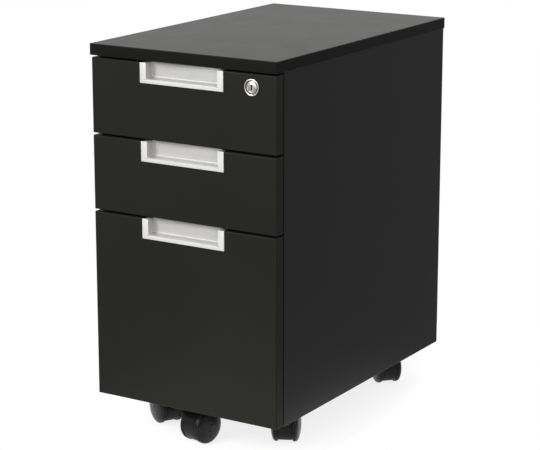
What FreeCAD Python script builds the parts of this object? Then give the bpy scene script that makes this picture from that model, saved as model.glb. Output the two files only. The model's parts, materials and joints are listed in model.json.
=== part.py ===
import FreeCAD, Part
import os
import re
import Sketcher
from FreeCAD import Placement, Rotation, Vector

# Mobile filing pedestal: steel cabinet, two box drawers, one file drawer on full-extension slides,
# a cam lock with a gang bar, and five twin-wheel casters, the fifth under the file drawer.
# Origin on the floor under the middle of the cabinet. X to the right, Y to the back, Z up.

DIMENSIONS = {
    # overall
    "width": 300, "depth": 476, "height": 560, "top_thick": 16, "edge_round": 1.2,
    # folded sheet cabinet; fronts and backs are distances from the middle
    "inset": 1.5, "sheet_thick": 1.0, "fold": 14, "carcass_front": 216.6, "carcass_back": 237,
    "underside": 56.5, "seam": 0.3, "base_lip": 6, "notch_half": 42, "notch_back": 140,
    "rail_tall": 8, "rail_deep": 20, "upright_wide": 38, "upright_y": 169, "upright_wall": 1.2,
    # drawer fronts
    "front_face": 236, "front_thick": 17, "front_wall": 1.2, "front_round": 1.6,
    "front_top": 540.8, "front_gap": 3.2, "box_front": 105, "file_front": 266.3,
    # drawer tubs
    "tub_half": 121.5, "tub_back": 190, "tub_wall": 1.0, "tub_rim": 5, "plate_inset": 1.5,
    "box_lift": 10, "box_tub": 64, "file_lift": 8, "file_tub": 228,
    # slides, as distances from the upright's face at slide_x
    "slide_x": 134.5, "slide_wall": 1.2, "slide_length": 400, "slide_front": 212, "member_front": 217,
    "box_slide_rise": 20, "box_slide_half": 17.5, "file_slide_rise": 44, "file_slide_half": 22.5,
    "inner_half": 13, "middle_half": 17.8,
    # recessed pulls
    "pull_half": 67, "pull_tall": 28, "pull_proud": 1.5, "pull_deep": 15, "pull_side": 10,
    "pull_floor": 8, "pull_back_wall": 1.5, "pull_round": 3, "pull_fit": 0.2,
    # lock
    "lock_x": 111, "lock_z": 523, "barrel_radius": 9.5, "flange_radius": 11.25, "bore_radius": 6.5,
    "barrel_end": 206, "plug_fit": 0.06, "key_wide": 2, "key_tall": 7.6, "key_deep": 12,
    "tail_half": 4, "nut_radius": 12.7, "nut_thick": 4, "cam_reach": 30, "cam_half": 6, "cam_hub": 8,
    "cam_thick": 2, "bar_left": 137, "bar_right": 146, "bar_front": 200.5, "bar_thick": 2,
    "bar_low": 130, "bar_high": 530, "bar_lift": 8, "catch_rise": 12, "catch_tall": 6,
    # casters
    "wheel_radius": 25, "wheel_inside": 10.5, "wheel_wide": 11, "wheel_cap": 2.5, "wheel_round": 1.5,
    "tread_wide": 4, "trail": 16, "axle_radius": 3, "axle_fit": 0.06,
    "plate_half": 30, "plate_thick": 2.5, "pin_radius": 4, "pin_fit": 0.06, "pin_low": 34,
    "boss_radius": 9, "boss_low": 30, "boss_gap": 0.5, "drum_half": 10, "drum_radius": 24.4,
    "drum_low": 6, "hood_radius": 27.2, "hood_inside": 25.9, "hood_half": 17, "hood_low": 43,
    "bolt_offset": 24,
    "side_swivel": 105, "front_swivel": 142, "rear_swivel": 164, "file_swivel": 177,
}

DOC = FreeCAD.newDocument("filing_cabinet")
SHEET = DOC.addObject("Spreadsheet::Sheet", "dims")
NODES = {}


def fill_sheet():
    for row, (alias, number) in enumerate(DIMENSIONS.items(), start=1):
        SHEET.set(f"A{row}", alias)
        SHEET.set(f"B{row}", str(number))
        SHEET.setAlias(f"B{row}", alias)
    DOC.recompute()


def formula(text):
    """Point each dimension's name in a formula at its cell."""
    def to_cell(match):
        return "dims." + match.group() if match.group() in DIMENSIONS else match.group()
    return re.sub(r"[a-z][a-z_0-9]*", to_cell, str(text))


def bind(thing, values):
    for name, text in values.items():
        thing.setExpression(name, formula(text))


def keep(node, thing):
    """Name the finished sub-part; its label is also its file's name."""
    thing.Label = node
    NODES[node] = thing
    return thing


def move(thing, x="0", y="0", z="0", turn=None):
    bind(thing, {"Placement.Base.x": x, "Placement.Base.y": y, "Placement.Base.z": z})
    if turn is not None:
        bind(thing, {"Placement.Rotation.Angle": turn})
    return thing


# ---- Part primitives, each side given as (low, high) formulas ----

def block(x, y, z):
    box = DOC.addObject("Part::Box", "Box")
    bind(box, {"Length": f"({x[1]}) - ({x[0]})", "Width": f"({y[1]}) - ({y[0]})",
               "Height": f"({z[1]}) - ({z[0]})"})
    return move(box, x[0], y[0], z[0])


def rod(axis, radius, low, high, centre):
    """Cylinder along axis from low to high; centre gives the other two coordinates in X, Y, Z order."""
    cylinder = DOC.addObject("Part::Cylinder", "Cylinder")
    bind(cylinder, {"Radius": radius, "Height": f"({high}) - ({low})"})
    turns = {"X": Rotation(Vector(0, 1, 0), 90), "Y": Rotation(Vector(1, 0, 0), -90), "Z": Rotation()}
    cylinder.Placement = Placement(Vector(), turns[axis])
    first, second = centre
    places = {"X": (low, first, second), "Y": (first, low, second), "Z": (first, second, low)}
    return move(cylinder, *places[axis])


def fuse(*things):
    joined = DOC.addObject("Part::MultiFuse", "Fusion")
    joined.Shapes = list(things)
    return joined


def cut(base, *tools):
    result = DOC.addObject("Part::Cut", "Cut")
    result.Base = base
    result.Tool = tools[0] if len(tools) == 1 else fuse(*tools)
    return result


def common(base, tool):
    result = DOC.addObject("Part::Common", "Common")
    result.Base = base
    result.Tool = tool
    return result


def group(things):
    compound = DOC.addObject("Part::Compound", "Compound")
    compound.Links = things
    return compound


def mirrored(thing):
    """The same piece on the cabinet's other side."""
    copy = DOC.addObject("Part::Mirroring", "Mirror")
    copy.Source = thing
    copy.Normal = Vector(1, 0, 0)
    return copy


# ---- PartDesign bodies ----

PLANES = {"XY": "XY_Plane", "XZ": "XZ_Plane", "YZ": "YZ_Plane"}


def new_body(node):
    return keep(node, DOC.addObject("PartDesign::Body", node))


def new_sketch(body, plane, offset="0"):
    """Sketch on one of the body's origin planes, offset along the plane's normal (-Y for XZ)."""
    sketch = body.newObject("Sketcher::SketchObject", "Sketch")
    base = next(item for item in body.Origin.OriginFeatures if item.Role == PLANES[plane])
    sketch.AttachmentSupport = [(base, "")]
    sketch.MapMode = "FlatFace"
    bind(sketch, {"AttachmentOffset.Base.z": offset})
    return sketch


def outline(sketch, points):
    """Closed polygon whose corners are held at (x, y) formulas."""
    count = len(points)
    turn = Rotation(Vector(0, 0, 1), 360 / count)
    corner = Vector(50, 0, 0)
    corners = []
    for _ in points:
        corners.append(corner)
        corner = turn.multVec(corner)
    for index in range(count):
        sketch.addGeometry(Part.LineSegment(corners[index], corners[(index + 1) % count]), False)
    for index in range(count):
        sketch.addConstraint(Sketcher.Constraint("Coincident", index, 2, (index + 1) % count, 1))
    for index, (x, y) in enumerate(points):
        for kind, now, text in (("DistanceX", corners[index].x, x), ("DistanceY", corners[index].y, y)):
            held = sketch.addConstraint(Sketcher.Constraint(kind, -1, 1, index, 1, now))
            bind(sketch, {f"Constraints[{held}]": text})
    DOC.recompute()
    return sketch


def rectangle(sketch, x, y):
    return outline(sketch, [(x[0], y[0]), (x[1], y[0]), (x[1], y[1]), (x[0], y[1])])


def circle(sketch, radius, x, y):
    sketch.addGeometry(Part.Circle(Vector(10, 10, 0), Vector(0, 0, 1), 5), False)
    for kind, text in (("DistanceX", x), ("DistanceY", y)):
        held = sketch.addConstraint(Sketcher.Constraint(kind, -1, 1, 0, 3, 10))
        bind(sketch, {f"Constraints[{held}]": text})
    held = sketch.addConstraint(Sketcher.Constraint("Radius", 0, 5))
    bind(sketch, {f"Constraints[{held}]": radius})
    DOC.recompute()
    return sketch


def pad(body, sketch, length, backwards=False):
    feature = body.newObject("PartDesign::Pad", "Pad")
    feature.Profile = sketch
    feature.Reversed = backwards
    bind(feature, {"Length": length})
    DOC.recompute()
    return feature


def pocket(body, sketch, length, backwards=False):
    before = body.Shape.Volume
    feature = body.newObject("PartDesign::Pocket", "Pocket")
    feature.Profile = sketch
    feature.Reversed = backwards
    bind(feature, {"Length": length})
    DOC.recompute()
    if body.Shape.Volume > before - 1:
        raise RuntimeError(f"{body.Label}: a pocket removed nothing")
    return feature


def revolve(body, sketch, axis):
    feature = body.newObject("PartDesign::Revolution", "Revolution")
    feature.Profile = sketch
    feature.ReferenceAxis = (sketch, [axis])
    feature.Angle = 360
    DOC.recompute()
    return feature


def round_edges(body, radius, wanted):
    """Fillet the edges for which wanted(bounding box) is true."""
    base = body.Tip
    names = [f"Edge{number}" for number, edge in enumerate(base.Shape.Edges, start=1)
             if wanted(edge.BoundBox)]
    feature = body.newObject("PartDesign::Fillet", "Fillet")
    feature.Base = (base, names)
    bind(feature, {"Radius": radius})
    DOC.recompute()
    return feature


def sized(alias):
    return DIMENSIONS[alias]


def near(first, second):
    return abs(first - second) < 0.01


# ---- cabinet ----

SIDE = "width/2 - inset"


def top_panel():
    """Folded steel cap, open underneath."""
    body = new_body("top_panel")
    sketch = rectangle(new_sketch(body, "XY", "height - top_thick"),
                       ("-width/2", "width/2"), ("-depth/2", "depth/2"))
    pad(body, sketch, "top_thick")
    round_edges(body, "edge_round", lambda box: near(box.ZMin, sized("height"))
                or box.ZLength > sized("top_thick") - 0.1)
    inside = rectangle(new_sketch(body, "XY", "height - top_thick"),
                       ("-width/2 + 2*sheet_thick", "width/2 - 2*sheet_thick"),
                       ("-depth/2 + 2*sheet_thick", "depth/2 - 2*sheet_thick"))
    pocket(body, inside, "top_thick - 2*sheet_thick", backwards=True)


def side_panel():
    """Right-hand sheet with its four edges folded inwards."""
    outer = block((f"{SIDE} - fold", SIDE), ("-carcass_front", "carcass_back"),
                  ("underside", "height - top_thick"))
    hollow = block((f"{SIDE} - fold - 1", f"{SIDE} - sheet_thick"),
                   ("-carcass_front + sheet_thick", "carcass_back - sheet_thick"),
                   ("underside + sheet_thick", "height - top_thick - sheet_thick"))
    return cut(outer, hollow)


def back_panel():
    half = f"({SIDE} - fold - seam)"
    outer = block(("-" + half, half), ("carcass_back - 12", "carcass_back - 0.2"),
                  ("underside + 1.5", "height - top_thick - 1"))
    hollow = block((f"-{half} + sheet_thick", f"{half} - sheet_thick"),
                   ("carcass_back - 13", "carcass_back - 0.2 - sheet_thick"),
                   ("underside + 1.5 + sheet_thick", "height - top_thick - 1 - sheet_thick"))
    keep("back_panel", cut(outer, hollow))


def base_panel():
    """Floor of the cabinet, notched at the front so that the drawer's caster can roll out."""
    half = f"({SIDE} - fold - seam)"
    outer = block(("-" + half, half), ("-carcass_front", "carcass_back - 13"),
                  ("underside", "underside + base_lip"))
    hollow = block((f"-{half} + sheet_thick", f"{half} - sheet_thick"),
                   ("-carcass_front + sheet_thick", "carcass_back - 13 - sheet_thick"),
                   ("underside + sheet_thick", "underside + base_lip + 1"))
    notch = block(("-notch_half", "notch_half"), ("-carcass_front - 1", "-notch_back"),
                  ("underside - 1", "underside + base_lip + 1"))
    keep("base_panel", cut(outer, hollow, notch))


def front_top_rail():
    """Channel across the top of the drawer opening."""
    half = f"({SIDE} - fold - seam)"
    high = "height - top_thick"
    outer = block(("-" + half, half), ("-carcass_front", "-carcass_front + rail_deep"),
                  (f"{high} - rail_tall", high))
    hollow = block(("-" + half, half), ("-carcass_front + sheet_thick", "-carcass_front + rail_deep + 1"),
                   (f"{high} - rail_tall - 1", f"{high} - sheet_thick"))
    keep("front_top_rail", cut(outer, hollow))


def slide_uprights():
    """Folded channels inside each side, at the front and the back, that carry the slides."""
    channels = []
    for middle in ("-upright_y", "upright_y"):
        low, high = f"{middle} - upright_wide/2", f"{middle} + upright_wide/2"
        outer = block(("slide_x", f"{SIDE} - sheet_thick"), (low, high),
                      ("underside + 3", "height - top_thick - 3"))
        hollow = block(("slide_x + upright_wall", SIDE),
                       (f"{low} + upright_wall", f"{high} - upright_wall"),
                       ("underside + 2", "height - top_thick - 2"))
        channel = cut(outer, hollow)
        channels += [channel, mirrored(channel)]
    keep("slide_uprights", group(channels))


def lock_bar_guides():
    guides = []
    for low in (200, 420):
        outer = block(("slide_x + 0.3", f"{SIDE} - sheet_thick"), ("-bar_front - 4", "-bar_front + 6"),
                      (low, f"{low} + 12"))
        slot = block(("bar_left - 0.3", "bar_right + 0.3"),
                     ("-bar_front - 0.3", "-bar_front + bar_thick + 0.3"), (f"{low} - 1", f"{low} + 13"))
        guides.append(cut(outer, slot))
    keep("lock_bar_guides", group(guides))


def back_screws():
    heads = []
    for x in (-126, 126):
        for z in (80, 235, 385, 520):
            heads.append(rod("Y", 3.4, "carcass_back - 0.2", "carcass_back + 0.9", (x, z)))
    keep("back_screws", group(heads))


def drawer_buffers():
    """Rubber discs on the cabinet's front folds, where the drawer fronts land."""
    discs = []
    for drawer in DRAWERS:
        for x in ("-(slide_x + 6)", "slide_x + 6"):
            discs.append(rod("Y", 4, "-carcass_front - 2", "-carcass_front", (x, f"{drawer.top} - 18")))
    keep("drawer_buffers", group(discs))


# ---- drawers ----

class Drawer:
    """One drawer's name and formulas; top is its front's top edge, opening is its front's height."""

    def __init__(self, name, top, opening, lift, tub, rise, slide_half):
        self.name = name
        self.top = f"({top})"
        self.low = f"({top} - {opening})"
        self.floor = f"({top} - {opening} + {lift})"
        self.rim = f"({top} - {opening} + {lift} + {tub})"
        self.slide = f"({top} - {opening} + {lift} + {rise})"
        self.slide_half = slide_half
        self.catch = f"({top} - {opening} + {lift} + {rise} + {slide_half} + catch_rise)"


BOX = ("box_front", "box_lift", "box_tub", "box_slide_rise", "box_slide_half")
FILE = ("file_front", "file_lift", "file_tub", "file_slide_rise", "file_slide_half")
DRAWERS = [
    Drawer("drawer_1", "front_top", *BOX),
    Drawer("drawer_2", "front_top - box_front - front_gap", *BOX),
    Drawer("file_drawer", "front_top - 2*box_front - 2*front_gap", *FILE),
]
FRONT_BACK = "front_face - front_thick"


def drawer_front(drawer):
    """Folded steel front, open at the back, with an opening for the pull in its top edge."""
    body = new_body(drawer.name + "_front")
    face = rectangle(new_sketch(body, "XZ", "front_face"), (f"-({SIDE})", SIDE), (drawer.low, drawer.top))
    pad(body, face, "front_thick", backwards=True)
    round_edges(body, "front_round", lambda box: near(box.YMin, -sized("front_face")) and near(box.YLength, 0))
    inside = rectangle(new_sketch(body, "XZ", FRONT_BACK),
                       (f"-({SIDE}) + front_wall", f"{SIDE} - front_wall"),
                       (f"{drawer.low} + front_wall", f"{drawer.top} - front_wall"))
    pocket(body, inside, "front_thick - front_wall", backwards=True)
    opening = rectangle(new_sketch(body, "XZ", "front_face + 1"),
                        ("-pull_half + 2", "pull_half - 2"),
                        (f"{drawer.top} - pull_tall + 2", f"{drawer.top} + 5"))
    pocket(body, opening, "front_thick + 2")
    if drawer.name == "drawer_1":
        hole = circle(new_sketch(body, "XZ", "front_face + 1"), "barrel_radius", "lock_x", "lock_z")
        pocket(body, hole, "front_thick")


def drawer_tub(drawer):
    """Bent box with a rim, a plate that closes the back of the front, and the gang lock's catch."""
    half = "tub_half"
    outer = block(("-" + half, half), (f"-({FRONT_BACK})", "tub_back"), (drawer.floor, drawer.rim))
    hollow = block(("-tub_half + tub_wall", "tub_half - tub_wall"),
                   (f"-({FRONT_BACK}) - 5", "tub_back - tub_wall"),
                   (f"{drawer.floor} + tub_wall", f"{drawer.rim} - tub_wall"))
    mouth = block(("-tub_half + tub_rim", "tub_half - tub_rim"),
                  (f"-({FRONT_BACK}) - 5", "tub_back - tub_rim"),
                  (f"{drawer.rim} - tub_wall - 1", f"{drawer.rim} + 1"))
    shell = cut(outer, hollow, mouth)
    plate = block((f"-({SIDE}) + plate_inset", f"{SIDE} - plate_inset"),
                  (f"-({FRONT_BACK}) - tub_wall", f"-({FRONT_BACK})"),
                  (f"{drawer.low} + plate_inset", f"{drawer.top} - plate_inset"))
    catch = block(("tub_half", "slide_x - 1.5"), ("-bar_front + bar_thick + 1", "-bar_front + bar_thick + 4.5"),
                  (drawer.catch, f"{drawer.catch} + catch_tall"))
    tub = fuse(shell, plate, catch)
    if drawer.name == "drawer_1":
        hole = rod("Y", "barrel_radius", "-front_face", "-barrel_end", ("lock_x", "lock_z"))
        cam_path = block(("tub_half - tub_rim - 1", "tub_half + 1"), (f"-({FRONT_BACK}) + 2", "-bar_front"),
                         ("lock_z - cam_reach - cam_half", "lock_z"))
        tub = cut(cut(tub, hole), cam_path)
    keep(drawer.name + "_tub", tub)


def drawer_pull(drawer):
    """Moulded cup with a raised border on three sides, open at the top of the drawer front."""
    body = new_body(drawer.name + "_pull")
    border = rectangle(new_sketch(body, "XZ", "front_face + pull_proud"),
                       ("-pull_half", "pull_half"), (f"{drawer.top} - pull_tall", drawer.top))
    pad(body, border, "pull_proud", backwards=True)
    cup = rectangle(new_sketch(body, "XZ", "front_face"),
                    ("-pull_half + 2 + pull_fit", "pull_half - 2 - pull_fit"),
                    (f"{drawer.top} - pull_tall + 2 + pull_fit", drawer.top))
    pad(body, cup, "pull_deep - pull_proud", backwards=True)
    recess = rectangle(new_sketch(body, "XZ", "front_face + pull_proud"),
                       ("-pull_half + pull_side", "pull_half - pull_side"),
                       (f"{drawer.top} - pull_tall + pull_floor", f"{drawer.top} + 5"))
    pocket(body, recess, "pull_deep - pull_back_wall")
    inner = sized("pull_half") - sized("pull_side")
    back = -sized("front_face") - sized("pull_proud") + sized("pull_deep") - sized("pull_back_wall")
    top = body.Tip.Shape.BoundBox.ZMax

    def inside_corner(box):
        upright = near(abs(box.XMin), inner) and near(box.XLength, 0)
        floor = near(box.XLength, 2 * inner) and box.ZMax < top - 1
        return near(box.YMin, back) and near(box.YMax, back) and (upright or floor)
    round_edges(body, "pull_round", inside_corner)


def front_screws(drawer):
    heads = []
    for x in (-85, 85):
        for z in (f"{drawer.floor} + 14", f"{drawer.rim} - 14"):
            heads.append(rod("Y", 3.6, f"-({FRONT_BACK})", f"-({FRONT_BACK}) + 1.6", (x, z)))
    keep(drawer.name + "_front_screws", group(heads))


def channel(web, lips, length, middle, half, wall="slide_wall"):
    """Slide section: an upright web and two lips, web and lips each (low X, high X)."""
    parts = [block(web, length, (f"{middle} - {half}", f"{middle} + {half}"))]
    for low in (f"{middle} - {half}", f"{middle} + {half} - {wall}"):
        parts.append(block(lips, length, (low, f"{low} + {wall}")))
    return fuse(*parts)


def both_sides(node, piece):
    keep(node, group([piece, mirrored(piece)]))


def drawer_slides(drawer):
    fixed = ("-slide_front", "-slide_front + slide_length")
    moving = ("-member_front", "-member_front + slide_length")
    outer = channel(("slide_x - slide_wall", "slide_x"), ("slide_x - 9.5", "slide_x - slide_wall"),
                    fixed, drawer.slide, drawer.slide_half)
    both_sides(drawer.name + "_outer_slides", outer)
    reach = "6.5" if drawer.name == "file_drawer" else "8.5"
    inner = channel(("tub_half", "tub_half + slide_wall"), ("tub_half + slide_wall", f"tub_half + {reach}"),
                    moving, drawer.slide, "inner_half")
    both_sides(drawer.name + "_inner_slides", inner)
    if drawer.name == "file_drawer":
        middle = channel(("slide_x - 5.5", "slide_x - 4.3"), ("slide_x - 10", "slide_x - 4.3"),
                         fixed, drawer.slide, "middle_half")
        both_sides("file_drawer_middle_slides", middle)


def file_rails(drawer):
    """Folded rails on the tub's sides that hanging files hook over."""
    length = (f"-({FRONT_BACK}) + 1", "tub_back - tub_rim - 1")
    rail = block(("tub_half - 9", "tub_half - 7"), length,
                 (f"{drawer.rim} - 6", f"{drawer.rim} + 8"))
    foot = block(("tub_half - 7", "tub_half"), length,
                 (drawer.rim, f"{drawer.rim} + 1.2"))
    both_sides("file_hanging_rails", fuse(rail, foot))


def file_caster_bracket(drawer):
    """Pressed tray between the file drawer's floor and its caster."""
    outer = block(("-plate_half", "plate_half"), ("-file_swivel - plate_half", "-file_swivel + plate_half"),
                  ("underside", drawer.floor))
    hollow = block(("-plate_half + 2", "plate_half - 2"),
                   ("-file_swivel - plate_half + 2", "-file_swivel + plate_half - 2"),
                   ("underside - 1", f"{drawer.floor} - 2"))
    keep("file_caster_bracket", cut(outer, hollow))


# ---- lock ----

def lock_barrel():
    """Turned barrel with a raised rim, fixed through the top drawer's front."""
    body = new_body("lock_barrel")
    face = "front_face"
    profile = [("bore_radius", f"-({face} + 1)"), ("flange_radius - 2.2", f"-({face} + 1)"),
               ("flange_radius - 1.6", f"-({face} + 1.8)"), ("flange_radius - 0.5", f"-({face} + 1.8)"),
               ("flange_radius", f"-({face} + 1.3)"), ("flange_radius", f"-{face}"),
               ("barrel_radius", f"-{face}"), ("barrel_radius", "-barrel_end"), ("bore_radius", "-barrel_end")]
    revolve(body, outline(new_sketch(body, "XY"), profile), "V_Axis")
    move(body, "lock_x", "0", "lock_z")


def lock_plug():
    """Cylinder that the key turns, with a square tail for the cam."""
    body = new_body("lock_plug")
    radius = "bore_radius - plug_fit"
    profile = [("0", "-front_face - 1.7"), (f"{radius} - 1.2", "-front_face - 1.7"),
               (radius, "-front_face - 1"), (radius, "-barrel_end"), ("0", "-barrel_end")]
    revolve(body, outline(new_sketch(body, "XY"), profile), "V_Axis")
    tail = rectangle(new_sketch(body, "XZ", "barrel_end"),
                     ("-tail_half", "tail_half"), ("-tail_half", "tail_half"))
    pad(body, tail, "cam_thick + 2", backwards=True)
    keyway = rectangle(new_sketch(body, "XZ", "front_face + 3"),
                       ("-key_wide/2", "key_wide/2"), ("-key_tall/2", "key_tall/2"))
    pocket(body, keyway, "key_deep + 3")
    move(body, "lock_x", "0", "lock_z")


def lock_cam():
    """Tongue that points down when unlocked and behind the side fold when locked."""
    near_face = ("-barrel_end + 1", "-barrel_end + 1 + cam_thick")
    hub = rod("Y", "cam_hub", *near_face, ("lock_x", "lock_z"))
    tongue = block(("lock_x - cam_half", "lock_x + cam_half"), near_face, ("lock_z - cam_reach", "lock_z"))
    square = block(("lock_x - tail_half", "lock_x + tail_half"), ("-barrel_end", "-barrel_end + 5"),
                   ("lock_z - tail_half", "lock_z + tail_half"))
    keep("lock_cam", cut(fuse(hub, tongue), square))


def lock_nut():
    prism = DOC.addObject("Part::Prism", "Prism")
    prism.Polygon = 6
    bind(prism, {"Circumradius": "nut_radius", "Height": "nut_thick"})
    prism.Placement = Placement(Vector(), Rotation(Vector(1, 0, 0), -90))
    move(prism, "lock_x", f"-({FRONT_BACK})", "lock_z")
    bore = rod("Y", "barrel_radius", "-front_face", "-barrel_end", ("lock_x", "lock_z"))
    keep("lock_nut", cut(prism, bore))


def lock_bar():
    """Upright bar that the cam lifts, with one hook for each drawer's catch."""
    across = ("-bar_front", "-bar_front + bar_thick")
    parts = [block(("bar_left", "bar_right"), across, ("bar_low", "bar_high"))]
    parts.append(block(("bar_left", "bar_right"), ("-bar_front - 6", "-bar_front + bar_thick"),
                       ("lock_z - 1.2", "lock_z + 0.8")))
    for drawer in DRAWERS:
        parts.append(block(("tub_half + 3.5", "bar_left"), across,
                           (f"{drawer.catch} - 1.5 - bar_lift", f"{drawer.catch} - 1.5")))
    keep("lock_bar", fuse(*parts))


# ---- casters ----

# name, swivel X and Y, and the way the wheels trail at rest, in degrees
CASTERS = [
    ("front_left_caster", "-side_swivel", "-front_swivel", "240"),
    ("front_right_caster", "side_swivel", "-front_swivel", "26"),
    ("rear_left_caster", "-side_swivel", "rear_swivel", "-40"),
    ("rear_right_caster", "side_swivel", "rear_swivel", "48"),
    ("file_caster", "0", "-file_swivel", "168"),
]


def bolt_places():
    return [(x, y) for x in ("-bolt_offset", "bolt_offset") for y in ("-bolt_offset", "bolt_offset")]


def caster_plate(x, y):
    """Mounting plate with its kingpin and four bolt holes."""
    plate = block((f"{x} - plate_half", f"{x} + plate_half"), (f"{y} - plate_half", f"{y} + plate_half"),
                  ("underside - plate_thick", "underside"))
    pin = rod("Z", "pin_radius", "pin_low", "underside - plate_thick/2", (x, y))
    holes = [rod("Z", 2.2, "underside - plate_thick - 1", "underside + 1", (f"{x} + {u}", f"{y} + {v}"))
             for u, v in bolt_places()]
    return cut(fuse(plate, pin), *holes)


def plate_screws(x, y):
    screws = []
    for u, v in bolt_places():
        centre = (f"{x} + {u}", f"{y} + {v}")
        head = rod("Z", 4, "underside - plate_thick - 1.4", "underside - plate_thick", centre)
        shank = rod("Z", 2.2, "underside - plate_thick", "underside", centre)
        screws.append(fuse(head, shank))
    return screws


def caster_hood():
    """Swivelling body at the swivel's own axes: boss, drum between the wheels, and fender over them."""
    centre = ("trail", "wheel_radius")
    boss = rod("Z", "boss_radius", "boss_low", "underside - plate_thick - boss_gap", ("0", "0"))
    drum = cut(rod("X", "drum_radius", "-drum_half", "drum_half", centre),
               block(("-50", "50"), ("trail - 50", "trail + 50"), ("-50", "drum_low")))
    ring = cut(rod("X", "hood_radius", "-hood_half", "hood_half", centre),
               rod("X", "hood_inside", "-hood_half - 1", "hood_half + 1", centre))
    spine = rod("X", "hood_radius - 0.5", "-drum_half", "drum_half", centre)
    above = block(("-50", "50"), ("trail - 50", "trail + 50"), ("hood_low", "height"))
    fender = common(fuse(ring, spine), above)
    pin_hole = rod("Z", "pin_radius + pin_fit", "pin_low - 1", "underside", ("0", "0"))
    axle_hole = rod("X", "axle_radius", "-50", "50", centre)
    return cut(fuse(boss, drum, fender), pin_hole, axle_hole)


def caster_axle():
    end = "wheel_inside + wheel_wide - wheel_cap - 0.2"
    return group([rod("X", "axle_radius", f"-({end})", end, ("trail", "wheel_radius"))])


def caster_wheel(node, side):
    """Moulded wheel with a narrow tread and a domed, closed outer face; side is 1 right, -1 left."""
    body = new_body(node)
    inner = f"{side}*wheel_inside"
    tread = f"{side}*(wheel_inside + tread_wide)"
    shoulder = f"{side}*(wheel_inside + 0.68*wheel_wide)"
    cheek = f"{side}*(wheel_inside + 0.9*wheel_wide)"
    outer = f"{side}*(wheel_inside + wheel_wide)"
    cap = f"{side}*(wheel_inside + wheel_wide - wheel_cap)"
    bore = "axle_radius + axle_fit"
    profile = [(inner, bore), (inner, "wheel_radius"), (tread, "wheel_radius"),
               (shoulder, "0.86*wheel_radius"), (cheek, "0.6*wheel_radius"), (outer, "0.3*wheel_radius"),
               (outer, "0"), (cap, "0"), (cap, bore)]
    revolve(body, outline(new_sketch(body, "XY"), profile), "H_Axis")
    radius = sized("wheel_radius")
    round_edges(body, "wheel_round", lambda box: near(box.XLength, 0) and box.YMax > radius - 0.5)
    return body


def caster(name, x, y, turn):
    move(keep(name + "_hood", caster_hood()), x, y, "0", turn)
    move(keep(name + "_axle", caster_axle()), x, y, "0", turn)
    for node, side in (("_left_wheel", -1), ("_right_wheel", 1)):
        wheel = caster_wheel(name + node, side)
        move(wheel, f"{x} - trail*sin({turn})", f"{y} + trail*cos({turn})", "wheel_radius", turn)


def build():
    fill_sheet()
    top_panel()
    right = side_panel()
    keep("right_side_panel", right)
    keep("left_side_panel", mirrored(right))
    back_panel()
    base_panel()
    front_top_rail()
    slide_uprights()
    lock_bar_guides()
    back_screws()
    drawer_buffers()
    for drawer in DRAWERS:
        drawer_front(drawer)
        drawer_tub(drawer)
        drawer_pull(drawer)
        front_screws(drawer)
        drawer_slides(drawer)
    file_rails(DRAWERS[-1])
    file_caster_bracket(DRAWERS[-1])
    lock_barrel()
    lock_plug()
    lock_cam()
    lock_nut()
    lock_bar()
    fixed = CASTERS[:-1]
    keep("caster_plates", group([caster_plate(x, y) for _, x, y, _ in fixed]))
    keep("caster_screws", group([screw for _, x, y, _ in fixed for screw in plate_screws(x, y)]))
    keep("file_caster_plate", caster_plate("0", "-file_swivel"))
    keep("file_caster_screws", group(plate_screws("0", "-file_swivel")))
    for entry in CASTERS:
        caster(*entry)
    DOC.recompute()


def check():
    for thing in DOC.Objects:
        if "Invalid" in thing.State or "Error" in thing.State:
            raise RuntimeError(f"{thing.Name} ({thing.Label}) did not build")
    for node, thing in NODES.items():
        if thing.Shape.isNull() or not thing.Shape.isValid() or not thing.Shape.Solids:
            raise RuntimeError(f"{node} has no valid solid")


def export():
    os.makedirs("parts", exist_ok=True)
    for node, thing in NODES.items():
        thing.Shape.exportStep(f"parts/{node}.step")
    print(len(NODES), "sub-parts written")


build()
check()
export()
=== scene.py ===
import json
import math

import bpy
from mathutils import Matrix, Vector

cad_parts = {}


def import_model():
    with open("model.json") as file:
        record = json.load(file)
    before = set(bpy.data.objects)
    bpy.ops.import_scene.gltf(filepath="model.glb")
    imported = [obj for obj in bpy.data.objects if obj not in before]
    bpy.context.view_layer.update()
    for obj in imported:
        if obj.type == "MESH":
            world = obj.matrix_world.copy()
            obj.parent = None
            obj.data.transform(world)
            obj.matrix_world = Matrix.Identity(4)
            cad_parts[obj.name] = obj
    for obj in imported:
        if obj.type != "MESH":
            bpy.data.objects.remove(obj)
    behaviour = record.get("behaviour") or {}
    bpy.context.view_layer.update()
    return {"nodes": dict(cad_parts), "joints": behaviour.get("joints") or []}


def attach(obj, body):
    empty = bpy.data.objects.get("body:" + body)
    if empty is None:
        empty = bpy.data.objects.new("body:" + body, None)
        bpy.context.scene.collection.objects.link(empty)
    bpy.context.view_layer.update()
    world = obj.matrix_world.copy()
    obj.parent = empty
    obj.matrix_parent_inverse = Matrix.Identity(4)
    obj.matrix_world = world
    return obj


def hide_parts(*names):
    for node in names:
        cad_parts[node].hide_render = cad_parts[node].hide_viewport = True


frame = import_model()
NODES = frame["nodes"]
MM = 0.001
DRAWERS = ("drawer_1", "drawer_2", "file_drawer")
SIDES = ((-1, "left"), (1, "right"))


# ---- measures taken from the frame ----

def box_of(node):
    """A CAD node's low and high corners, in millimetres."""
    thing = NODES[node]
    corners = [thing.matrix_world @ vertex.co / MM for vertex in thing.data.vertices]
    return [[round(pick(corner[axis] for corner in corners), 2) for axis in range(3)]
            for pick in (min, max)]


def lock_axis():
    """X and Z of the line that the lock plug turns on, in metres."""
    for joint in frame["joints"]:
        if joint["name"] == "lock_turn":
            x, _, z = joint["pos_m"]
            return x, z


LOCK_X, LOCK_Z = lock_axis()


# ---- shader helpers ----

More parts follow.
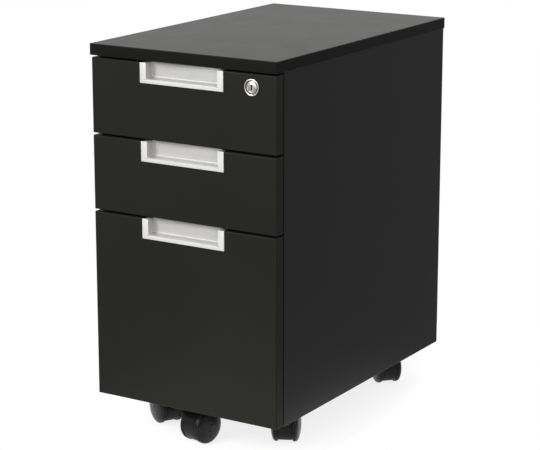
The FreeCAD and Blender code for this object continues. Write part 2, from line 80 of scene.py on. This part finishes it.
class Shader:
    """One Principled material, built up node by node."""

    def __init__(self, name, color, roughness, metallic=0.0):
        self.material = bpy.data.materials.new(name)
        self.material.use_nodes = True
        self.tree = self.material.node_tree
        self.surface = self.tree.nodes["Principled BSDF"]
        self.set("Base Color", (*color, 1.0))
        self.set("Roughness", roughness)
        self.set("Metallic", metallic)
        self.place = self.add("ShaderNodeTexCoord").outputs["Object"]

    def set(self, socket, value):
        self.surface.inputs[socket].default_value = value

    def add(self, kind, **values):
        node = self.tree.nodes.new(kind)
        for name, value in values.items():
            setattr(node, name, value)
        return node

    def link(self, source, target):
        self.tree.links.new(source, target)

    def noise(self, scale, detail=3.0, roughness=0.55, stretch=(1, 1, 1)):
        """Noise with about scale blobs per metre, squeezed or drawn out by stretch."""
        mapping = self.add("ShaderNodeMapping")
        mapping.inputs["Scale"].default_value = stretch
        self.link(self.place, mapping.inputs["Vector"])
        node = self.add("ShaderNodeTexNoise")
        node.inputs["Scale"].default_value = scale
        node.inputs["Detail"].default_value = detail
        node.inputs["Roughness"].default_value = roughness
        self.link(mapping.outputs["Vector"], node.inputs["Vector"])
        return node.outputs["Fac"]

    def spread(self, source, low, high, start=0.3, end=0.7):
        """Map a value's start-to-end onto low-to-high."""
        node = self.add("ShaderNodeMapRange")
        for name, value in (("From Min", start), ("From Max", end), ("To Min", low), ("To Max", high)):
            node.inputs[name].default_value = value
        self.link(source, node.inputs["Value"])
        return node.outputs["Result"]

    def tint(self, factor, first, second):
        """Mix the base colour from first to second."""
        node = self.add("ShaderNodeMix", data_type="RGBA")
        node.inputs[6].default_value = (*first, 1.0)
        node.inputs[7].default_value = (*second, 1.0)
        self.link(factor, node.inputs[0])
        self.link(node.outputs[2], self.surface.inputs["Base Color"])

    def rough(self, value):
        self.link(value, self.surface.inputs["Roughness"])

    def bump(self, *layers):
        """Stack bumps, each (height, strength, depth in metres)."""
        last = None
        for height, strength, depth in layers:
            node = self.add("ShaderNodeBump")
            node.inputs["Strength"].default_value = strength
            node.inputs["Distance"].default_value = depth
            self.link(height, node.inputs["Height"])
            if last is not None:
                self.link(last, node.inputs["Normal"])
            last = node.outputs["Normal"]
        self.link(last, self.surface.inputs["Normal"])


# ---- materials ----

def powder_coat(name, color, roughness, marks_depth, specular, texture, specular_tint=(1.0, 1.0, 1.0)):
    """Textured powder coat: fine orange peel, faint cloudy tone, and handling marks in the gloss."""
    shader = Shader(name, color, roughness)
    shader.set("Specular IOR Level", specular)
    shader.set("Specular Tint", (*specular_tint, 1.0))
    cloud = shader.noise(5, detail=4)
    light = tuple(channel * 1.12 + 0.0004 for channel in color)
    shader.tint(shader.spread(cloud, 0.0, 1.0), color, light)
    marks = shader.noise(22, detail=5, roughness=0.65, stretch=(1, 1, 0.35))
    shader.rough(shader.spread(marks, roughness - marks_depth, roughness + marks_depth))
    peel = shader.noise(620, detail=2)
    grain = shader.noise(1900, detail=1)
    shader.bump((peel, 0.7 * texture, 0.00012), (grain, texture, 0.00006))
    return shader.material


def edge_coat():
    """The same coat along folded edges, where it is thinner and rubbed."""
    coat, rubbed = (0.009, 0.009, 0.0085), (0.034, 0.033, 0.031)
    shader = Shader("powder_coat_edge", coat, 0.38)
    shader.set("Specular IOR Level", 0.25)
    rub = shader.noise(70, detail=6, roughness=0.7, stretch=(1, 1, 0.5))
    shader.tint(shader.spread(rub, 0.0, 1.0, 0.56, 0.74), coat, rubbed)
    shader.rough(shader.spread(rub, 0.40, 0.27))
    shader.bump((shader.noise(900, detail=2), 0.2, 0.00008))
    return shader.material


def satin_paint():
    """Smooth stoved paint inside the drawers, with faint vertical dip runs and scuffs."""
    shader = Shader("inner_satin_paint", (0.017, 0.017, 0.0168), 0.45)
    shader.set("Specular IOR Level", 0.38)
    runs = shader.noise(30, detail=3, stretch=(1, 1, 0.12))
    shader.tint(shader.spread(runs, 0.0, 1.0), (0.015, 0.015, 0.0148), (0.024, 0.024, 0.0237))
    scuffs = shader.noise(45, detail=6, roughness=0.75, stretch=(1, 0.08, 1))
    shader.rough(shader.spread(scuffs, 0.50, 0.33, 0.35, 0.75))
    shader.bump((shader.noise(420, detail=2), 0.14, 0.0001))
    return shader.material


def plated_steel(name, color, roughness, stretch=(1, 1, 1)):
    """Bare or zinc-plated steel: rolled grain, patchy passivation, small rub marks."""
    shader = Shader(name, color, roughness, metallic=1.0)
    grain = shader.noise(900, detail=4, roughness=0.7, stretch=stretch)
    patches = shader.noise(38, detail=5)
    dull = tuple(channel * 0.72 for channel in color)
    warm = (color[0] * 1.02, color[1] * 1.0, color[2] * 0.93)
    shader.tint(shader.spread(patches, 0.0, 1.0), dull, warm)
    shader.rough(shader.spread(grain, roughness - 0.08, roughness + 0.14))
    shader.bump((grain, 0.12, 0.00005), (patches, 0.08, 0.0001))
    return shader.material


def pull_paint(name, shade):
    """Pale silver-grey lacquer on the moulded pulls: fine metallic fleck under a satin surface."""
    warm_grey = (shade, shade * 0.99, shade * 0.965)
    shader = Shader(name, warm_grey, 0.34, metallic=0.12)
    shader.set("Coat Weight", 0.25)
    shader.set("Coat Roughness", 0.22)
    fleck = shader.noise(2600, detail=1)
    dark = tuple(channel * 0.91 for channel in warm_grey)
    light = tuple(channel * 1.08 for channel in warm_grey)
    shader.tint(shader.spread(fleck, 0.0, 1.0, 0.35, 0.65), dark, light)
    smudge = shader.noise(55, detail=4)
    shader.rough(shader.spread(smudge, 0.29, 0.42))
    shader.bump((shader.noise(700, detail=2), 0.06, 0.00006))
    return shader.material


def nickel():
    """Polished nickel with light scratches from keys."""
    shader = Shader("lock_nickel", (0.93, 0.87, 0.80), 0.26, metallic=1.0)
    scratches = shader.noise(1400, detail=5, roughness=0.75, stretch=(1, 1, 0.2))
    shader.tint(shader.spread(scratches, 0.0, 1.0), (0.90, 0.84, 0.77), (0.97, 0.91, 0.84))
    shader.rough(shader.spread(scratches, 0.24, 0.36))
    shader.bump((scratches, 0.08, 0.00002))
    return shader.material


def painted_keyway_shade():
    """Painted shade inside the key slot: near-black and rough."""
    shader = Shader("keyway_painted_shade", (0.006, 0.005, 0.004), 0.7)
    shader.rough(shader.spread(shader.noise(1200), 0.6, 0.85))
    return shader.material


def caster_nylon(name, color, roughness, specular):
    """Moulded black nylon: slight flow marks and a finely eroded mould skin."""
    shader = Shader(name, color, roughness)
    shader.set("Specular IOR Level", specular)
    flow = shader.noise(90, detail=4, stretch=(1, 1, 0.4))
    light = tuple(channel * 1.4 + 0.0006 for channel in color)
    shader.tint(shader.spread(flow, 0.0, 1.0), color, light)
    shader.rough(shader.spread(flow, roughness - 0.06, roughness + 0.08))
    shader.bump((shader.noise(1700, detail=2), 0.12, 0.00006))
    return shader.material


def wheel_tread():
    """The running surface, dulled and dusted by the floor."""
    shader = Shader("wheel_tread_worn", (0.008, 0.008, 0.008), 0.5)
    shader.set("Specular IOR Level", 0.18)
    dust = shader.noise(260, detail=6, roughness=0.7)
    shader.tint(shader.spread(dust, 0.0, 1.0, 0.5, 0.8), (0.006, 0.006, 0.006), (0.024, 0.023, 0.021))
    shader.rough(shader.spread(dust, 0.42, 0.66))
    shader.bump((dust, 0.18, 0.0001))
    return shader.material


def rubber():
    """Dull black rubber of the drawer buffers."""
    shader = Shader("buffer_rubber", (0.02, 0.02, 0.02), 0.75)
    shader.rough(shader.spread(shader.noise(300), 0.68, 0.85))
    shader.bump((shader.noise(900), 0.2, 0.0001))
    return shader.material


def natural_nylon():
    """Uncoloured nylon of the lock bar's guides, slightly see-through."""
    shader = Shader("guide_nylon", (0.72, 0.71, 0.66), 0.45)
    shader.set("Subsurface Weight", 0.1)
    shader.set("Subsurface Radius", (0.002, 0.002, 0.0016))
    shader.tint(shader.spread(shader.noise(60), 0.0, 1.0), (0.68, 0.67, 0.62), (0.76, 0.75, 0.70))
    shader.bump((shader.noise(900), 0.1, 0.00008))
    return shader.material


# One black coat in four tones: the front coat and three copies whose darker base colours are painted shade,
# each tuned to how its faces look under this studio light.
COAT = powder_coat("powder_coat_black", (0.0118, 0.0118, 0.0096), roughness=0.45, marks_depth=0.04,
                   specular=0.12, texture=0.22)
# Painted shade: a darker, cooler copy of the coat for the side panels.
SHADED_SIDE_COAT = powder_coat("powder_coat_side_painted_shade", (0.0084, 0.0086, 0.0094), roughness=0.30, marks_depth=0.02,
                        specular=0.20, texture=0.08)
# Painted shade and painted reflection: a darker copy of the coat for the top slab, with a warm tint in its
# reflection.
SHADED_TOP_COAT = powder_coat("powder_coat_top_painted_shade", (0.0066, 0.0058, 0.0040), roughness=0.36, marks_depth=0.018,
                       specular=0.35, texture=0.22, specular_tint=(1.0, 0.97, 0.90))
# Painted shade: the darkest copy of the coat, for the slab's edges and underside.
SHADED_SLAB_EDGE_COAT = powder_coat("powder_coat_slab_edge_painted_shade", (0.0052, 0.0052, 0.0048), roughness=0.44,
                        marks_depth=0.03, specular=0.10, texture=0.22)
EDGE = edge_coat()
INNER = satin_paint()
ZINC = plated_steel("zinc_plate", (0.62, 0.63, 0.645), 0.32, stretch=(1, 0.06, 1))
SCREW = plated_steel("screw_zinc", (0.50, 0.50, 0.51), 0.36)
CAGE = plated_steel("cage_steel", (0.55, 0.50, 0.40), 0.38, stretch=(1, 0.2, 1))
BALL = plated_steel("ball_steel", (0.72, 0.72, 0.72), 0.16)
AXLE = plated_steel("axle_steel", (0.46, 0.46, 0.47), 0.30)
# Painted shade: the recess walls and back take a darker copy (0.52) of the bezel's lacquer (0.70).
PULL_PAINTED_SHADE = pull_paint("pull_lacquer_inside_painted_shade", 0.52)
BEZEL = pull_paint("pull_lacquer_bezel", 0.70)
NICKEL = nickel()
# Painted shade: a dark copy of the plated steel for the lock's sunk ring.
GROOVE_PAINTED_SHADE = plated_steel("lock_groove_painted_shade", (0.16, 0.14, 0.12), 0.45)
KEYWAY_SHADE = painted_keyway_shade()
HOOD = caster_nylon("caster_hood_nylon", (0.0045, 0.0045, 0.0045), 0.38, specular=0.16)
WHEEL = caster_nylon("wheel_nylon", (0.0040, 0.0040, 0.0042), 0.26, specular=0.24)
TREAD = wheel_tread()
RUBBER = rubber()
NYLON = natural_nylon()


# ---- carried-over CAD nodes ----

def finish_node(node, body, edge, width, segments=2):
    """Give a CAD node its material, and rounded edges of this width in millimetres in a second one."""
    thing = NODES[node]
    mesh = thing.data
    if mesh.has_custom_normals:
        mesh.attributes.remove(mesh.attributes["custom_normal"])
    mesh.materials.clear()
    mesh.materials.append(body)
    mesh.materials.append(edge)
    mesh.shade_smooth()
    weld = thing.modifiers.new("weld", "WELD")
    weld.merge_threshold = 0.002 * MM
    bevel = thing.modifiers.new("rounded_edges", "BEVEL")
    bevel.width = width * MM
    bevel.segments = segments
    bevel.limit_method = "ANGLE"
    bevel.angle_limit = math.radians(35)
    bevel.harden_normals = True
    bevel.material = 1
    return thing


def finish_nodes():
    """Finish every CAD node that stays in the picture."""
    # Painted shade: the side panels take the darker, cooler copy of the coat.
    for node in ("left_side_panel", "right_side_panel"):
        finish_node(node, SHADED_SIDE_COAT, EDGE, 0.6, 3)
    for node in ("back_panel", "base_panel", "front_top_rail"):
        finish_node(node, COAT, EDGE, 0.6, 3)
    # Painted shade: the top slab takes a darker copy of the coat, and its edges and underside an even darker
    # one.
    slab = finish_node("top_panel", SHADED_TOP_COAT, EDGE, 0.5, 2)
    use_on_faces(slab, SHADED_SLAB_EDGE_COAT, lambda face: face.normal.z < 0.5)
    for drawer in DRAWERS:
        finish_node(drawer + "_front", COAT, EDGE, 0.35, 2)
        finish_node(drawer + "_tub", INNER, EDGE, 0.3, 2)
        finish_node(drawer + "_outer_slides", ZINC, ZINC, 0.35)
        finish_node(drawer + "_inner_slides", ZINC, ZINC, 0.35)
    finish_node("file_drawer_middle_slides", ZINC, ZINC, 0.35)
    for node in ("slide_uprights", "file_caster_bracket", "file_hanging_rails"):
        finish_node(node, INNER, EDGE, 0.35)
    for node in ("lock_bar", "lock_cam", "caster_plates", "file_caster_plate"):
        finish_node(node, ZINC, ZINC, 0.3)
    finish_node("lock_nut", NICKEL, NICKEL, 0.4)
    finish_node("lock_bar_guides", NYLON, NYLON, 0.4)
    finish_node("drawer_buffers", RUBBER, RUBBER, 0.5, 3)
    for node in NODES:
        if node.endswith("screws"):
            finish_node(node, SCREW, SCREW, 0.4, 3)
        elif node.endswith("_hood"):
            finish_node(node, HOOD, HOOD, 0.7, 3)
        elif node.endswith("_axle"):
            finish_node(node, AXLE, AXLE, 0.3, 2)
    darken_keyway(finish_node("lock_plug", NICKEL, NICKEL, 0.12, 2))


def use_on_faces(thing, material, wanted):
    """Add a third material and put it on the wanted faces."""
    thing.data.materials.append(material)
    for face in thing.data.polygons:
        if wanted(face):
            face.material_index = 2


def darken_keyway(plug):
    """The key slot's walls and floor get painted shade: a near-black material."""
    half_width, half_height = 1.1 * MM, 4 * MM
    mouth, end = -237.6 * MM, -215 * MM

    def in_slot(face):
        x, y, z = face.center
        return abs(x - LOCK_X) < half_width and abs(z - LOCK_Z) < half_height and mouth < y < end

    use_on_faces(plug, KEYWAY_SHADE, in_slot)


# ---- new pieces ----

def new_piece(name, points, faces, materials, indices, body):
    """Mesh piece from points in millimetres, riding on a CAD body."""
    mesh = bpy.data.meshes.new(name)
    mesh.from_pydata([Vector(point) * MM for point in points], [], faces)
    for material in materials:
        mesh.materials.append(material)
    for face, index in zip(mesh.polygons, indices):
        face.material_index = index
    mesh.shade_smooth()
    mesh.set_sharp_from_angle(angle=math.radians(38))
    piece = bpy.data.objects.new(name, mesh)
    bpy.context.scene.collection.objects.link(piece)
    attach(piece, body)
    return piece


def lathe(profile, side, steps=72):
    """Turn (x, radius, material) points about X; side mirrors them. Gives points, faces, face materials."""
    points, faces, indices = [], [], []
    for x, radius, _ in profile:
        for step in range(steps):
            angle = 2 * math.pi * step / steps
            points.append((side * x, radius * math.cos(angle), radius * math.sin(angle)))
    for ring in range(len(profile) - 1):
        for step in range(steps):
            after = (step + 1) % steps
            low, high = ring * steps, (ring + 1) * steps
            corners = (low + step, low + after, high + after, high + step)
            faces.append(corners if side > 0 else corners[::-1])
            indices.append(profile[ring][2])
    return points, faces, indices


def drawer_pull(drawer):
    """Moulded recess open at the top: U-shaped bezel, walls with soft inside corners, and a back."""
    (_, front, low), (wide, recess, top) = box_of(drawer + "_pull")
    lip, side = 5.8, 10.0
    bezel, border, back_wall = 1.5, 2.2, 1.5
    inner, sill, cup = wide - side, low + lip, wide - border
    outline = [(-wide, top), (-wide, low), (wide, low), (wide, top),
               (inner, top), (inner, sill), (-inner, sill), (-inner, top)]
    body = [(-cup, top), (-cup, low + border), (cup, low + border), (cup, top)]
    points = [(x, front, z) for x, z in outline]
    points += [(x, recess, z) for x, z in outline[4:]]
    points += [(x, front + bezel, z) for x, z in outline[:4] + body]
    points += [(x, recess + back_wall, z) for x, z in body]
    faces = [(0, 1, 6, 7), (1, 2, 5, 6), (2, 3, 4, 5),
             (4, 8, 9, 5), (5, 9, 10, 6), (6, 10, 11, 7), (8, 11, 10, 9)]
    for here, there in ((0, 12), (12, 16), (16, 20)):
        faces += [(here + i, there + i, there + i + 1, here + i + 1) for i in range(3)]
    back_face, top_face = (20, 23, 22, 21), (0, 7, 11, 8, 4, 3, 15, 19, 23, 20, 16, 12)
    faces += [back_face, top_face]
    # The bezel's front faces take the lacquer, and the recess faces take its darker copy, which is painted
    # shade.
    bezel_faces = 3
    indices = [0] * bezel_faces + [1] * (len(faces) - bezel_faces)
    piece = new_piece(drawer + "_pull_moulded", points, faces, (BEZEL, PULL_PAINTED_SHADE), indices,
                      drawer)
    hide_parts(drawer + "_pull")
    mesh = piece.data
    mesh.set_sharp_from_angle(angle=math.radians(180))
    recess_corners = ({5, 9}, {6, 10}, {9, 10}, {8, 9}, {10, 11})
    soft = mesh.attributes.new("bevel_weight_edge", "FLOAT", "EDGE")
    for edge in mesh.edges:
        if set(edge.vertices) in recess_corners:
            soft.data[edge.index].value = 1.0
    round_edges(piece, "inside_rounds", "WEIGHT", 3.0, 6)
    round_edges(piece, "edge_rounds", "ANGLE", 0.6, 3)


def round_edges(piece, name, method, width, segments):
    """Round the edges that the method picks; width is in millimetres."""
    bevel = piece.modifiers.new(name, "BEVEL")
    bevel.limit_method = method
    bevel.angle_limit = math.radians(50)
    bevel.width = width * MM
    bevel.segments = segments
    bevel.harden_normals = True


def lock_barrel():
    """Turned barrel: raised rim, a sunk ring, and a collar round the plug."""
    bore, body, rim, end, sheet = 6.56, 9.5, 11.25, 206, 236
    plain, dark = 0, 1
    outside = [(end, bore, plain), (end, body, plain), (sheet, body, plain), (sheet, rim, plain)]
    rim_front = [(237.2, rim, plain), (237.6, 11.12, plain), (237.8, 10.8, plain), (237.85, 10.3, plain),
                 (237.8, 9.8, plain)]
    # The sunk ring takes the dark material, which is painted shade in the groove.
    sunk_ring = [(237.6, 9.5, dark), (236.6, 9.3, dark), (236.3, 9.1, dark), (236.25, 8.6, dark),
                 (236.3, 8.2, dark), (236.5, 8.0, dark)]
    collar = [(237.1, 7.9, plain), (237.25, 7.7, plain), (237.25, 6.8, plain), (237.0, bore, plain),
              (end, bore, plain)]
    points, faces, indices = lathe(outside + rim_front + sunk_ring + collar, 1, steps=96)
    place = Matrix.Translation((LOCK_X / MM, 0, LOCK_Z / MM)) @ Matrix.Rotation(-math.pi / 2, 4, "Z")
    points = [place @ Vector(point) for point in points]
    piece = new_piece("lock_barrel_turned", points, faces, (NICKEL, GROOVE_PAINTED_SHADE), indices,
                      "drawer_1")
    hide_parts("lock_barrel")


def wheel_profile():
    """Half section of a closed, domed wheel, with X counted from the middle of its caster."""
    radius, dome_start, dome_depth = 25.0, 14.5, 7.0
    skin, tread = 0, 1
    hub = [(18.9, 0.02, skin), (18.9, 3.06, skin), (10.6, 3.06, skin), (10.6, 6.5, skin)]
    inner_face = [(11.6, 7.5, skin), (11.6, 20.0, skin), (10.6, 21.0, skin), (10.5, 23.6, skin)]
    rolling_band = [(10.75, 24.5, tread), (11.3, 24.9, tread), (12.0, radius, tread), (14.0, radius, tread)]
    groove = [(14.25, 24.9, skin), (14.4, 24.6, skin), (14.6, 24.86, skin)]
    dome = []
    for degrees in range(6, 78, 3):
        angle = math.radians(degrees)
        dome.append((dome_start + dome_depth * math.sin(angle), radius * math.cos(angle), skin))
    axle_cap = [(21.3, 6.0, skin), (21.12, 5.6, skin), (21.12, 5.2, skin), (21.32, 4.8, skin),
                (21.45, 3.2, skin), (21.48, 0.02, skin)]
    return hub + inner_face + rolling_band + groove + dome + axle_cap


def caster_wheels():
    """A domed wheel on each wheel's joint, which stands off its caster's middle by wheel_offset."""
    wheel_offset = 16.0
    for joint in frame["joints"]:
        node = joint["child"]
        if not node.endswith("_wheel"):
            continue
        side = -1 if node.endswith("_left_wheel") else 1
        along_x, along_y, _ = joint["axis"]
        place = (Matrix.Translation(Vector(joint["pos_m"]) / MM)
                 @ Matrix.Rotation(math.atan2(along_y, along_x), 4, "Z")
                 @ Matrix.Translation((-side * wheel_offset, 0, 0)))
        points, faces, indices = lathe(wheel_profile(), side)
        points = [place @ Vector(point) for point in points]
        piece = new_piece(node + "_moulded", points, faces, (WHEEL, TREAD), indices, node)
        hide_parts(node)


def ball(centre, radius, start):
    """Small sphere's points and faces; start is how many points come before it."""
    points, faces = [], []
    rings, steps = 6, 10
    for ring in range(rings + 1):
        tilt = math.pi * ring / rings
        for step in range(steps):
            angle = 2 * math.pi * step / steps
            offset = (math.sin(tilt) * math.cos(angle), math.sin(tilt) * math.sin(angle), math.cos(tilt))
            points.append(tuple(c + radius * o for c, o in zip(centre, offset)))
    for ring in range(rings):
        for step in range(steps):
            after = (step + 1) % steps
            low, high = start + ring * steps, start + (ring + 1) * steps
            faces.append((low + step, high + step, high + after, low + after))
    return points, faces


def bar(x, y, z, start):
    """Box's points and faces; x, y and z are each a (low, high) pair, start is as for ball."""
    points = [(along_x, along_y, along_z) for along_x in x for along_y in y for along_z in z]
    corners = ((0, 1, 3, 2), (4, 6, 7, 5), (0, 4, 5, 1), (2, 3, 7, 6), (0, 2, 6, 4), (1, 5, 7, 3))
    return points, [tuple(start + corner for corner in face) for face in corners]


def ball_cage(name, body, side, inner, outer, row_x, web_x, radius, length):
    """Bent strip with a row of balls above and below the inner slide member, inside the outer one."""
    slide_sheet, strip, flange = 1.2, 0.5, 2.0
    set_back, pitch = 5, 8
    (_, _, inner_low), (_, _, inner_high) = box_of(inner)
    (_, front, low), (_, _, high) = box_of(outer)
    start = front + set_back
    span = (start, start + length)
    middle = (low + high) / 2
    rise = (inner_high - inner_low + high - low) / 4 - slide_sheet / 2
    points, faces, indices = [], [], []

    def join(shape, material):
        points.extend(shape[0])
        faces.extend(shape[1])
        indices.extend([material] * len(shape[1]))

    flanges = sorted((side * (row_x - flange), side * (web_x + strip / 2)))
    web = sorted((side * (web_x - strip / 2), side * (web_x + strip / 2)))
    for level in (middle - rise, middle + rise):
        join(bar(flanges, span, (level - strip / 2, level + strip / 2), len(points)), 0)
        for count in range(length // pitch):
            centre = (side * row_x, start + pitch * (count + 0.5), level)
            join(ball(centre, radius, len(points)), 1)
    join(bar(web, span, (middle - rise, middle + rise), len(points)), 0)
    new_piece(name, points, faces, (CAGE, BALL), indices, body)


def ball_cages():
    """Drawers 1 and 2 have one cage on each side; the file drawer has two, as its slides extend twice."""
    for side, word in SIDES:
        for drawer in ("drawer_1", "drawer_2"):
            ball_cage(f"{drawer}_{word}_ball_cage", "cabinet", side,
                      drawer + "_inner_slides", drawer + "_outer_slides",
                      row_x=127.5, web_x=131.6, radius=1.55, length=82)
        ball_cage(f"file_drawer_{word}_outer_ball_cage", "cabinet", side,
                  "file_drawer_middle_slides", "file_drawer_outer_slides",
                  row_x=127.5, web_x=131.6, radius=1.65, length=162)
        ball_cage(f"file_drawer_{word}_inner_ball_cage", "file_slide_middles", side,
                  "file_drawer_inner_slides", "file_drawer_middle_slides",
                  row_x=125.8, web_x=128.5, radius=1.65, length=162)


# ---- stage, lights and camera ----

def floor():
    """Oval pale floor that glows, brighter towards its rim, where the equally white world takes over; the
    glow also lightens the shadows on it.
    """
    bpy.ops.mesh.primitive_circle_add(vertices=128, radius=0.5, fill_type="NGON", location=(0, -0.05, 0))
    disc = bpy.context.active_object
    disc.name = "studio_floor"
    disc.scale = (0.46, 1.1, 1)
    shader = Shader("studio_floor_white", (0.30, 0.30, 0.30), 0.9)
    shader.set("Specular IOR Level", 0.0)
    shader.set("Emission Color", (1.0, 1.0, 1.0, 1.0))
    reach = shader.add("ShaderNodeVectorMath", operation="LENGTH")
    shader.link(shader.place, reach.inputs[0])
    glow = shader.spread(reach.outputs["Value"], low=0.80, high=1.01, start=0.36, end=0.49)
    shader.link(glow, shader.surface.inputs["Emission Strength"])
    disc.data.materials.append(shader.material)


def world(above, below):
    """White where the camera looks straight at it; otherwise soft light that falls off below the horizon."""
    studio = bpy.data.worlds.new("studio")
    bpy.context.scene.world = studio
    studio.use_nodes = True
    nodes, links = studio.node_tree.nodes, studio.node_tree.links
    nodes["Background"].inputs["Color"].default_value = (1.0, 1.0, 1.0, 1.0)
    direction = nodes.new("ShaderNodeTexCoord")
    split = nodes.new("ShaderNodeSeparateXYZ")
    links.new(direction.outputs["Generated"], split.inputs["Vector"])
    height = nodes.new("ShaderNodeMapRange")
    for name, value in (("From Min", -0.02), ("From Max", 0.22), ("To Min", below), ("To Max", above)):
        height.inputs[name].default_value = value
    links.new(split.outputs["Z"], height.inputs["Value"])
    seen = nodes.new("ShaderNodeLightPath")
    pick = nodes.new("ShaderNodeMix")
    pick.inputs[3].default_value = 1.0
    links.new(seen.outputs["Is Camera Ray"], pick.inputs[0])
    links.new(height.outputs["Result"], pick.inputs[2])
    links.new(pick.outputs[0], nodes["Background"].inputs["Strength"])


def area(name, place, size, power):
    """Rectangular soft light aimed at the middle of the cabinet."""
    light = bpy.data.lights.new(name, "AREA")
    light.shape = "RECTANGLE"
    light.size, light.size_y = size
    light.energy = power
    lamp = bpy.data.objects.new(name, light)
    bpy.context.scene.collection.objects.link(lamp)
    lamp.location = place
    lamp.rotation_euler = (Vector((0, 0, 0.3)) - Vector(place)).to_track_quat("-Z", "Y").to_euler()


def camera():
    """Long lens from the front right, a little above the cabinet's top."""
    lens = bpy.data.cameras.new("camera")
    lens.sensor_width = 36
    lens.lens = 130.3
    lens.clip_end = 50
    eye = bpy.data.objects.new("camera", lens)
    bpy.context.scene.collection.objects.link(eye)
    looking_down, turned = 14.16, 31.84
    eye.location = (1.4534, -2.3533, 0.9711)
    eye.rotation_euler = (math.radians(90 - looking_down), 0, math.radians(turned))
    bpy.context.scene.camera = eye


finish_nodes()
for drawer in DRAWERS:
    drawer_pull(drawer)
lock_barrel()
caster_wheels()
ball_cages()
floor()
world(above=0.82, below=0.28)
area("key_softbox", place=(-0.9, -2.6, 1.7), size=(1.2, 1.2), power=60)
area("side_softbox", place=(2.0, -2.2, 1.0), size=(1.0, 1.4), power=18)
camera()
bpy.context.scene.view_settings.view_transform = "Standard"
